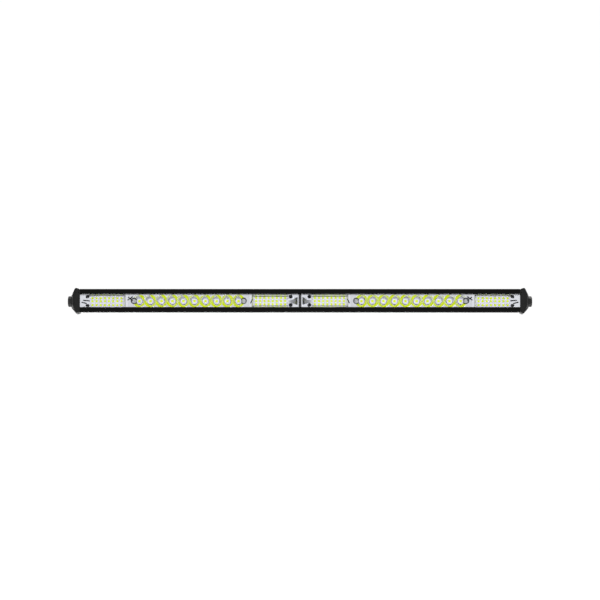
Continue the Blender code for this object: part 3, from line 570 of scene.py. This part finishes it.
def mirror_dullness_and_painted_shade(x, y, z, fall):
    """How dull each point of the mirror is, and how strong its painted shade and painted shadow, from 0
    to 1.
    """
    tray = TRAYS["inner"]
    inner = x < tray["start"]
    steep = ramped(np.abs(fall), *DULL_SLOPE)
    up_wall = np.where(z > 0, z - tray["top"], -z - tray["bottom"])
    # painted shadow along the foot of the inner trays' walls
    foot = (up_wall > -PAINTED_SHADOW_BELOW) & (up_wall < PAINTED_SHADOW_FOOT) & inner & (x > tray["end"])
    pit = np.zeros(x.shape)
    rim = np.zeros(x.shape)
    for centre in pit_centres():
        off = np.hypot(x - centre, z) - PIT_RADIUS
        pit = np.maximum(pit, off < SOFT_PIT)
        rim = np.maximum(rim, np.clip(1.5 - np.abs(off) / PIT_RIM, 0, 1))
    flange = x < FLANGE
    ramp_top = ramped(x, *DARK_RAMP) * (x > FLANGE + 0.6 * MM) * (np.abs(z) < DARK_RAMP_HALF)
    lip = ramped(np.maximum(z - SHADED_ABOVE, -z - SHADED_BELOW), 0, SHADED_EDGE)
    cups = (x > tray["crest"]) & (x < TRAYS["outer"]["crest"])
    cup_foot = cups & (y > BACK_Y - CUP_FOOT)
    cup = cups & (y > FRONT_Y + 0.1 * MM)
    in_groove = np.minimum(3 * scored(x, z), 1)
    # each place counts with how much painted shade greys it and painted shadow blackens it
    # painted shade greys the steep outer walls, the pits, the flange, the cups and the lips
    painted_shade_parts = [steep * ~inner, 0.7 * pit, 0.6 * flange, 0.2 * cup, lip]
    # painted shadow blackens the walls' feet, the grooves, the pit rims, the cups' feet, the lips and
    # the inner ramps' tops
    painted_shadow_parts = [0.9 * foot, in_groove, rim, 0.8 * cup_foot, 0.3 * lip, 0.8 * ramp_top]
    return {
        "dull": np.maximum(steep, pit),
        "painted_shade": np.maximum.reduce(painted_shade_parts),
        "painted_shadow": np.maximum.reduce(painted_shadow_parts),
    }


def mirror_grid():
    """The right reflector's points on a fine grid, their slopes in X and Z, and a skirt to the board."""
    low, high = reflector_low, reflector_high
    xs = np.arange(low.x, high.x, MIRROR_STEP)
    zs = np.linspace(low.z, high.z, MIRROR_ROWS)
    x, z = np.meshgrid(xs, zs, indexing="ij")
    y = reflector_surface(x, z)
    tiny = 0.02 * MM
    across = (reflector_surface(x + tiny, z) - reflector_surface(x - tiny, z)) / (2 * tiny)
    up = (reflector_surface(x, z + tiny) - reflector_surface(x, z - tiny)) / (2 * tiny)
    x, y, z, across, up = (np.pad(grid, 1, mode="edge") for grid in (x, y, z, across, up))
    y[[0, -1], :] = BACK_Y
    y[:, [0, -1]] = BACK_Y
    return x, y, z, across, up


def mirror_quads(y, side):
    """The grid's faces as four indices each, without those that lie on the board."""
    rows, columns = y.shape
    index = np.arange(rows * columns).reshape(rows, columns)
    quads = np.stack([index[:-1, :-1], index[:-1, 1:], index[1:, 1:], index[1:, :-1]], axis=-1)
    at_floor = (y[quads // columns, quads % columns] > BACK_Y - 0.01 * MM).all(axis=-1)
    quads = quads[~at_floor]
    return quads[:, ::-1] if side > 0 else quads


def make_reflector(name, side):
    """A moulded shell, mirrored in front, as a fine sheet with a skirt to the board round it."""
    x, y, z, across, up = mirror_grid()
    normal = np.stack([side * across, -np.ones_like(y), up], axis=-1)
    normal /= np.linalg.norm(normal, axis=-1, keepdims=True)
    points = np.stack([side * x, y, z], axis=-1).reshape(-1, 3)
    used, quads = np.unique(mirror_quads(y, side), return_inverse=True)
    mesh = bpy.data.meshes.new(f"reflector_{name}_mirror")
    mesh.from_pydata(points[used].tolist(), [], quads.reshape(-1, 4).tolist())
    mesh.shade_smooth()
    mesh.normals_split_custom_set_from_vertices(normal.reshape(-1, 3)[used].tolist())
    mesh.materials.append(material["chrome"])
    # the attributes hold the mirror's dullness and its painted shade and painted shadow
    for key, values in mirror_dullness_and_painted_shade(x, y, z, up).items():
        layer = mesh.attributes.new(key, "FLOAT", "POINT")
        layer.data.foreach_set("value", values.astype(np.float32).reshape(-1)[used])
    piece = bpy.data.objects.new(mesh.name, mesh)
    bpy.context.scene.collection.objects.link(piece)
    return settle(piece, "reflector_silver", f"reflector_{name}")


# ---------------------------------------------------------------- LEDs

FLOOD_CENTRES = {"inner": 41.1 * MM, "outer": 270.1 * MM}
FLOOD_COLUMNS = 8
FLOOD_PITCH = 5.8 * MM
FLOOD_ROWS = {
    "inner": (-4.4 * MM, 0.1 * MM, 4.6 * MM),
    "outer": (-5.6 * MM, -0.1 * MM, 4.1 * MM),
}
FLOOD_HALF = 1.5 * MM
SPOT_HALF = 1.75 * MM
CARRIER_THICKNESS = 0.35 * MM
CARRIER_GROWTH = {"inner": (0.6 * MM, 0.3 * MM), "outer": (0.6 * MM, 0.6 * MM)}  # in X and in Z
WHITE, YELLOW, TIN, MASK = range(4)


def add_block(bm, low, high, slot):
    """A box between two corners, with this material; returns its faces."""
    size = Matrix.Diagonal((*(high - low), 1.0))
    made = bmesh.ops.create_cube(bm, size=1.0, matrix=Matrix.Translation((low + high) / 2) @ size)
    faces = {face for vert in made["verts"] for face in vert.link_faces}
    for face in faces:
        face.material_index = slot
    return faces


def add_led(bm, x, z, half, top, base):
    """A white package with the yellow phosphor in its shallow well and a solder pad at each end."""
    low, high = Vector((x - half, top, z - half)), Vector((x + half, base, z + half))
    faces = add_block(bm, low, high, WHITE)
    front = min(faces, key=lambda face: face.calc_center_median().y)
    rim = bmesh.ops.inset_region(bm, faces=[front], thickness=0.04 * half, depth=0)
    bmesh.ops.inset_region(bm, faces=[front], thickness=0.03 * half, depth=-0.05 * MM)
    front.material_index = YELLOW
    for face in rim["faces"]:
        face.material_index = WHITE
    for sign in (-1, 1):
        pad_low = Vector((x + sign * half - 0.25 * MM, base - 0.06 * MM, z - 0.7 * half))
        pad_high = Vector((x + sign * half + 0.25 * MM, base + 0.1 * MM, z + 0.7 * half))
        add_block(bm, pad_low, pad_high, TIN)


def make_led_group(node, lamps, half, slot, grow=(0, 0)):
    """One carrier with its LEDs, grown a little in X and Z so that it meets the mirror's walls."""
    low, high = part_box(node)
    base = high.y - CARRIER_THICKNESS
    bm = bmesh.new()
    margin = Vector((grow[0], 0, grow[1]))
    add_block(bm, Vector((low.x, base, low.z)) - margin, high + margin, MASK)
    for x, z in lamps:
        add_led(bm, x, z, half, low.y, base)
    finishes = ["package", "phosphor", "solder", "board"]
    return settle(piece_from(f"{node}_array", bm, finishes, 30), slot, node)


def make_leds(name, side):
    for zone, rows in FLOOD_ROWS.items():
        node = f"flood_leds_{name}_{zone}"
        centre = FLOOD_CENTRES[zone]
        columns = [centre + (i - (FLOOD_COLUMNS - 1) / 2) * FLOOD_PITCH for i in range(FLOOD_COLUMNS)]
        lamps = [(side * x, z) for x in columns for z in rows]
        make_led_group(node, lamps, FLOOD_HALF, "flood_led_yellow", CARRIER_GROWTH[zone])
    centres = [SPOT_FIRST + i * SPOT_PITCH for i in range(SPOT_COUNT)]
    lamps = [(side * x, 0) for x in centres]
    make_led_group(f"spot_leds_{name}", lamps, SPOT_HALF, "spot_led_yellow")


# ---------------------------------------------------------------- screws, bolts, washers


def socket_screw(node, slot, matrix, head, shank):
    """A round head with a hexagon socket, and a shank that runs down local Z from the origin.

    head is (radius, height, socket radius, socket depth), and shank is (radius, length).
    """
    radius, height, socket, depth = head
    shank_radius, length = shank
    socket_side = hexagon_radius(2 * socket * math.cos(math.pi / 6))
    crown = [
        (radius - 0.25 * height * (1 - math.cos(t)), height * (0.45 + 0.55 * math.sin(t)))
        for t in (i * math.pi / 12 for i in range(1, 6))
    ]
    profile = [
        (0, height - depth),
        (socket_side, height - depth),
        (socket_side, height - 0.08 * MM),
        (lambda angle: socket_side(angle) + 0.12 * MM, height),
        (crown[-1][0] - 0.1 * radius, height),
        *reversed(crown),
        (radius, 0.4 * height),
        (radius, 0.05 * MM),
        (radius - 0.1 * MM, 0),
        (shank_radius, 0),
        (shank_radius, -length + 0.4 * MM),
        (shank_radius - 0.4 * MM, -length),
        (0, -length),
    ]
    bm = swept(profile, 48, matrix)
    return settle(piece_from(f"{node}_fine", bm, ["oxide"], 35), slot, node)


CAP_SCREW_HEAD = (3.0 * MM, 2.2 * MM, 1.45 * MM, 1.3 * MM)  # radius, height, socket radius and depth
CAP_SCREW_SHANK = 1.5 * MM
REFLECTOR_SCREW_HEAD = (1.9 * MM, 1.2 * MM, 0.85 * MM, 0.7 * MM)
REFLECTOR_SCREW_SHANK = 1.0 * MM


def make_cap_screws(name, side):
    height = CAP_SCREW_HEAD[1]
    for row in ("front", "rear"):
        for level in LEVELS:
            node = f"end_cap_screw_{name}_{row}_{level}"
            low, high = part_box(node)
            outer = high.x if side > 0 else low.x
            at = Vector((outer - side * height, *middle_of(node).yz))
            matrix = Matrix.Translation(at) @ facing(side)
            shank = (CAP_SCREW_SHANK, high.x - low.x - height)
            socket_screw(node, "screw_black", matrix, CAP_SCREW_HEAD, shank)


def make_reflector_screws(name):
    height = REFLECTOR_SCREW_HEAD[1]
    for zone in TRAYS:
        for level in LEVELS:
            node = f"reflector_screw_{name}_{zone}_{level}"
            low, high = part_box(node)
            at = Vector((middle_of(node).x, low.y + height, middle_of(node).z))
            matrix = Matrix.Translation(at) @ FORWARDS
            shank = (REFLECTOR_SCREW_SHANK, high.y - low.y - height)
            socket_screw(node, "reflector_screw_black", matrix, REFLECTOR_SCREW_HEAD, shank)


BOLT_FLATS = 13.0 * MM
BOLT_HEAD = 5.3 * MM
BOLT_CROWN = 5.9 * MM  # radius of the flat on top of the head
BOLT_FACE = 6.0 * MM  # radius of the turned face under it
CHAMFER = math.radians(28)
BOLT_RADIUS = 3.9 * MM
THREAD_PITCH = 1.25 * MM
THREAD_DEPTH = 0.6 * MM
THREAD_OVERLAP = 0.3 * MM  # how far the shank runs into the head
TIP_LENGTH = 1.2 * MM
TIP_CHAMFER = 0.5 * MM
WASHER_BORE = 4.25 * MM
WASHER_GAP = math.radians(7)  # half of the split
WASHER_SLANT = math.radians(9)


def add_thread(bm, matrix, start, end):
    """A helical M8 thread along local Z, with a chamfered tip at its start."""
    around, per_turn = 40, 8
    count = int((end - start) / (THREAD_PITCH / per_turn))
    rings = []
    for i in range(count + 1):
        z = start + (end - start) * i / count
        tip = 1 - min(1.0, (z - start) / TIP_LENGTH)
        ring = []
        for j in range(around):
            wave = abs(((z / THREAD_PITCH - j / around) % 1.0) - 0.5) * 2
            radius = BOLT_RADIUS - THREAD_DEPTH * wave - TIP_CHAMFER * tip
            ring.append(vert_at(bm, matrix, radius, 2 * math.pi * j / around, z))
        rings.append(ring)
    loft(bm, rings)


def make_bolt(name, side):
    """Hexagon head with its turned chamfers and washer face, and a threaded shank."""
    node = f"mount_bolt_{name}"
    low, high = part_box(node)
    outer = high.x if side > 0 else low.x
    flat_up = Matrix.Rotation(math.pi / 2, 4, "Z")
    matrix = Matrix.Translation((outer - side * BOLT_HEAD, 0, 0)) @ facing(side) @ flat_up
    hexagon = hexagon_radius(BOLT_FLATS)

    def chamfer(angle):
        return (hexagon(angle) - BOLT_CROWN) * math.tan(CHAMFER)

    profile = [
        (0, BOLT_HEAD - 0.25 * MM),
        (3.4 * MM, BOLT_HEAD - 0.25 * MM),
        (4.2 * MM, BOLT_HEAD),
        (BOLT_CROWN, BOLT_HEAD),
        (lambda angle: hexagon(angle) - 0.1 * MM, lambda angle: BOLT_HEAD - chamfer(angle) + 0.03 * MM),
        (hexagon, lambda angle: BOLT_HEAD - chamfer(angle) - 0.1 * MM),
        (hexagon, lambda angle: 0.45 * MM + chamfer(angle) * 0.5),
        (BOLT_FACE, 0.35 * MM),
        (BOLT_FACE, 0.05 * MM),
        (BOLT_FACE - 0.05 * MM, 0),
        (0, 0),
    ]
    bm = swept(profile, 72, matrix)
    add_thread(bm, matrix, -(high.x - low.x - BOLT_HEAD), THREAD_OVERLAP)
    return settle(piece_from(f"{node}_fine", bm, ["zinc"], 32), "bolt_black", node)


def rounded_square(inner, outer, thick, round_off):
    """Points of (radius, height) round the section of a square ring with rounded corners."""
    section = []
    for r, z, turn in ((outer, thick, 0), (inner, thick, 1), (inner, 0, 2), (outer, 0, 3)):
        toward = Vector((-1 if r == outer else 1, -1 if z else 1))
        centre = Vector((r, z)) + toward * round_off
        for step in range(3):
            t = math.pi / 2 * (turn + step / 2)
            section.append(centre + round_off * Vector((math.cos(t), math.sin(t))))
    return section


def make_washer(name, side):
    """A split spring washer: one turn of square section with a slanted gap."""
    node = f"spring_washer_{name}"
    low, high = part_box(node)
    thick = high.x - low.x
    section = rounded_square(WASHER_BORE, high.z, thick, 0.2 * MM)
    matrix = Matrix.Translation((low.x if side > 0 else high.x, 0, 0)) @ facing(side)
    steps = 96
    bm = bmesh.new()
    rings = []
    for i in range(steps + 1):
        ring = []
        for r, z in section:
            slant = WASHER_SLANT * (z / thick - 0.5)
            angle = math.pi / 2 + WASHER_GAP + (2 * math.pi - 2 * WASHER_GAP) * i / steps + slant
            ring.append(vert_at(bm, matrix, r, angle, z))
        rings.append(ring)
    loft(bm, rings)
    return settle(piece_from(f"{node}_fine", bm, ["zinc"], 35), "washer_black", node)


# ---------------------------------------------------------------- gland and breather


def ribbed(radius, depth, count):
    """A radius with grip flutes cut into it, as a function of the angle."""

    def at(angle):
        return radius - depth * max(0.0, math.cos(count * angle)) ** 2

    return at


BORE = 3.5 * MM  # the cable's way through the insert and the body
POCKET = 4.9 * MM  # radius of the body's mouth, which holds the insert
GLAND_THREAD = 5.6 * MM
GLAND_FLATS = 14.0 * MM
NUT_GRIP = 6.9 * MM
NUT_RIM = 6.6 * MM
NUT_BORE = 5.9 * MM
NUT_MOUTH = 3.6 * MM
O_RING_SEAT = 0.35 * MM  # from an O-ring to the flange that squeezes it


def gland_nut(start, end):
    """The domed nut's section, from its mouth over its flutes to its skirt and back inside."""
    grip = ribbed(NUT_GRIP, 0.5 * MM, 18)
    return [
        (NUT_MOUTH, end - 0.5 * MM),
        (3.8 * MM, end - 0.1 * MM),
        (4.3 * MM, end),
        (5.3 * MM, end - 0.5 * MM),
        (6.1 * MM, end - 1.4 * MM),
        (NUT_RIM, end - 2.6 * MM),
        (grip, end - 3.4 * MM),
        (grip, start + 0.9 * MM),
        (6.8 * MM, start + 0.5 * MM),
        (NUT_RIM, start),
        (NUT_BORE, start),
        (NUT_BORE, end - 4.2 * MM),
        (NUT_MOUTH, end - 4.2 * MM),
    ]


def gland_insert(low, high):
    """The rubber insert's section, with a chamfer where the cable leaves it."""
    return [
        (BORE, low),
        (BORE, high - 0.4 * MM),
        (3.9 * MM, high),
        (4.7 * MM, high),
        (4.7 * MM, low),
    ]


def gland_body(low, high, pocket, flange, shoulder):
    """A sleeve with the insert's pocket in its mouth and a hexagon between flange and shoulder."""
    flats = hexagon_radius(GLAND_FLATS)

    def edge(angle):
        return flats(angle) - 0.2 * MM

    return [
        (BORE, low),
        (BORE, pocket),
        (POCKET, pocket),
        (POCKET, high),
        (5.4 * MM, high),
        (GLAND_THREAD, high - 0.3 * MM),
        (GLAND_THREAD, shoulder),
        (NUT_RIM, shoulder),
        (edge, shoulder),
        (flats, shoulder - 0.2 * MM),
        (flats, flange + 0.2 * MM),
        (edge, flange),
        (GLAND_THREAD, flange),
        (GLAND_THREAD, low),
    ]


def make_gland():
    low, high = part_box("cable_gland_body")
    nut_low, nut_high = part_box("cable_gland_nut")
    insert_low, insert_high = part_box("cable_gland_seal")
    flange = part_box("cable_gland_o_ring")[1].y + O_RING_SEAT
    nut = gland_nut(nut_low.y, nut_high.y)
    insert = gland_insert(insert_low.y, insert_high.y)
    body = gland_body(low.y, high.y, insert_low.y - 0.2 * MM, flange, nut_low.y - GAP)
    at = Matrix.Translation((middle_of("cable_gland_nut").x, 0, 0)) @ BACKWARDS
    for node, profile, steps, finish, slot, angle in (
        ("cable_gland_nut", nut, 144, "nylon", "gland_black", 32),
        ("cable_gland_seal", insert, 64, "silicone", "gland_seal_black", 35),
        ("cable_gland_body", body, 72, "nylon", "gland_black", 32),
    ):
        bm = swept(profile, steps, at, closed=True)
        settle(piece_from(f"{node}_fine", bm, [finish], angle), slot, node)


def make_vent():
    """Mushroom head with grip flutes round it and a shallow round recess in its top."""
    low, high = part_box("breather_vent")
    at = Matrix.Translation((middle_of("breather_vent").x, 0, 0)) @ BACKWARDS
    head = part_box("breather_o_ring")[1].y + O_RING_SEAT
    notch = ribbed(5.4 * MM, 0.7 * MM, 6)
    profile = [
        (0, high.y - 0.15 * MM),
        (2.2 * MM, high.y - 0.15 * MM),
        (2.6 * MM, high.y),
        (3.9 * MM, high.y),
        (4.7 * MM, high.y - 0.3 * MM),
        (5.25 * MM, high.y - 0.9 * MM),
        (notch, high.y - 1.3 * MM),
        (notch, head + 0.5 * MM),
        (5.2 * MM, head + 0.3 * MM),
        (5.1 * MM, head),
        (3.0 * MM, head),
        (3.0 * MM, low.y),
        (0, low.y),
    ]
    bm = swept(profile, 120, at)
    settle(piece_from("breather_vent_fine", bm, ["nylon"], 32), "vent_black", "breather_vent")


def make_o_rings():
    for node in ("cable_gland_o_ring", "breather_o_ring"):
        low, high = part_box(node)
        thick = (high.y - low.y) / 2
        ring = (high.z - low.z) / 2 - thick
        middle = (low.y + high.y) / 2
        section = [
            (ring + thick * math.cos(t), middle + thick * math.sin(t))
            for t in (2 * math.pi * i / 16 for i in range(16))
        ]
        at = Matrix.Translation((middle_of(node).x, 0, 0)) @ BACKWARDS
        bm = swept(section, 72, at, closed=True)
        settle(piece_from(f"{node}_fine", bm, ["silicone"], 80), "o_ring_black", node)


# ---------------------------------------------------------------- housing, caps, gaskets


GASKET_SQUEEZE = 1.9 * GAP  # how much of the two gaps beside it the gasket fills


def make_gasket(name):
    """The end gasket, squeezed between housing and cap so that no daylight shows beside it."""
    node = f"end_gasket_{name}"
    low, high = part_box(node)
    centre = (low.x + high.x) / 2
    stretch = 1 + GASKET_SQUEEZE / (high.x - low.x)
    bm = cleaned(node)
    for vert in bm.verts:
        vert.co.x = centre + (vert.co.x - centre) * stretch
    return settle(piece_from(f"{node}_fine", bm, ["silicone"]), "gasket_black", node)


def make_shells():
    refined("housing", "anodised", "housing_black", 0.25 * MM)
    for name in SIDES:
        refined(f"end_cap_{name}", "powder", "cap_black", 0.5 * MM, 3, 14)
        make_gasket(name)
    refined("centre_divider", "nylon", "divider_black", 0.3 * MM, 3)


def finish_cad_nodes():
    """Materials of the CAD nodes that stay as they are."""
    kept = {
        "lens": "lens",
        "lens_seal": "silicone",
        "led_board": "board",
        "thermal_pad": "pad",
        "board_connector": "connector",
        "jumper_lead_plus": "red",
        "jumper_lead_minus": "black",
        "driver_board": "circuit",
        "driver_inductor": "component",
        "driver_capacitor": "aluminium",
        "driver_chip": "component",
        "driver_header": "connector",
        "input_terminal": "connector",
    }
    for node, obj in frame["nodes"].items():
        if obj.hide_render:
            continue
        key = max((k for k in kept if node.startswith(k)), key=len)
        obj.data.materials.clear()
        obj.data.materials.append(material[kept[key]])


# ---------------------------------------------------------------- studio


def aim(obj, target):
    obj.rotation_mode = "QUATERNION"
    obj.rotation_quaternion = (Vector(target) - obj.location).to_track_quat("-Z", "Y")


CAMERA_DISTANCE = 3.2
CAMERA_RISE = math.radians(-4.4)  # below 0, the camera looks up at the bar
CAMERA_TARGET = Vector((0, -0.02, 0.0007))
VIEW_WIDTH = 0.8363  # what the picture takes in at the target
SENSOR_WIDTH = 36
FLOOR_HALF = 12.0
FLOOR_Z = -0.36
BESIDE = (0.6, 0.92, 0.9, 0.2)  # the light fades between these two X of its direction, from and to
BELOW = (-0.25, 0.0, 0.15, 1.0)  # the same for Z
BACKDROP = 1.02  # strength of the white that the camera sees
LIGHTS = (  # name, place, size, power in watts, and whether it shows in mirrors
    ("key", (-0.7, -1.6, 1.5), (1.2, 0.8), 12, True),
    ("fill", (1.4, -1.2, 0.5), (0.8, 0.8), 5, False),
    ("front", (0, -2.2, 0.2), (1.6, 1.0), 9, False),
    ("rim", (0.3, 1.6, 1.4), (1.4, 0.6), 14, True),
    ("back", (-0.4, 2.2, 0.3), (1.6, 1.0), 40, True),
)


def make_camera():
    data = bpy.data.cameras.new("camera")
    data.sensor_width = SENSOR_WIDTH
    data.lens = SENSOR_WIDTH * CAMERA_DISTANCE / VIEW_WIDTH
    data.clip_start = 0.01
    camera = bpy.data.objects.new("camera", data)
    bpy.context.scene.collection.objects.link(camera)
    back, up = CAMERA_DISTANCE * math.cos(CAMERA_RISE), CAMERA_DISTANCE * math.sin(CAMERA_RISE)
    camera.location = CAMERA_TARGET + Vector((0, -back, up))
    aim(camera, CAMERA_TARGET)
    bpy.context.scene.camera = camera


def make_floor():
    """A wide pale floor well below the bar."""
    mesh = bpy.data.meshes.new("floor")
    half = FLOOR_HALF
    corners = [(-half, -half), (half, -half), (half, half), (-half, half)]
    mesh.from_pydata([(x, y, FLOOR_Z) for x, y in corners], [], [(0, 1, 2, 3)])
    floor = bpy.data.objects.new("floor", mesh)
    bpy.context.scene.collection.objects.link(floor)
    pale = surface("pale_floor", grey(0.93), grey(0.95), (0.8, 0.9), 0.5, 0.05, 0.0001)
    shader = pale.node_tree.nodes["Principled BSDF"]
    shader.inputs["Specular IOR Level"].default_value = 0
    shader.inputs["Emission Color"].default_value = (1, 1, 1, 1)
    shader.inputs["Emission Strength"].default_value = 0.35
    mesh.materials.append(pale)


def faded(tree, value, start, end, at_start, at_end):
    """The value's smooth change from one strength to another between start and end."""
    settings = {"Value": value, "From Min": start, "From Max": end, "To Min": at_start, "To Max": at_end}
    return add(tree, "ShaderNodeMapRange", settings, interpolation_type="SMOOTHSTEP").outputs["Result"]


def make_world():
    """White to the camera; to the object, bright all round and darker to both sides and below."""
    world = bpy.data.worlds.new("studio")
    world.use_nodes = True
    tree = world.node_tree
    tree.nodes.clear()
    direction = add(tree, "ShaderNodeTexCoord").outputs["Generated"]
    split = add(tree, "ShaderNodeSeparateXYZ", {"Vector": direction})
    sideways = add(tree, "ShaderNodeMath", {0: split.outputs["X"]}, operation="ABSOLUTE").outputs[0]
    beside = faded(tree, sideways, *BESIDE)
    below = faded(tree, split.outputs["Z"], *BELOW)
    both = add(tree, "ShaderNodeMath", {0: beside, 1: below}, operation="MULTIPLY")
    around = add(tree, "ShaderNodeBackground", {"Color": (1, 1, 1, 1), "Strength": both.outputs[0]})
    white = add(tree, "ShaderNodeBackground", {"Color": (1, 1, 1, 1), "Strength": BACKDROP})
    is_camera = add(tree, "ShaderNodeLightPath").outputs["Is Camera Ray"]
    mix = add(tree, "ShaderNodeMixShader", {0: is_camera, 1: around.outputs[0], 2: white.outputs[0]})
    add(tree, "ShaderNodeOutputWorld", {"Surface": mix.outputs[0]})
    bpy.context.scene.world = world


def make_light(name, location, size, power, mirrored):
    data = bpy.data.lights.new(name, "AREA")
    data.shape = "RECTANGLE"
    data.size, data.size_y = size
    data.energy = power
    light = bpy.data.objects.new(name, data)
    bpy.context.scene.collection.objects.link(light)
    light.location = location
    light.visible_camera = False
    light.visible_glossy = mirrored
    aim(light, (0, 0, 0))


def make_studio():
    make_camera()
    make_floor()
    make_world()
    for light in LIGHTS:
        make_light(*light)
    bpy.context.scene.view_settings.view_transform = "Standard"


# ---------------------------------------------------------------- everything

for name, side in SIDES.items():
    make_reflector(name, side)
    make_leds(name, side)
    make_cap_screws(name, side)
    make_reflector_screws(name)
    make_bolt(name, side)
    make_washer(name, side)
make_gland()
make_vent()
make_o_rings()
make_shells()
finish_cad_nodes()
make_studio()
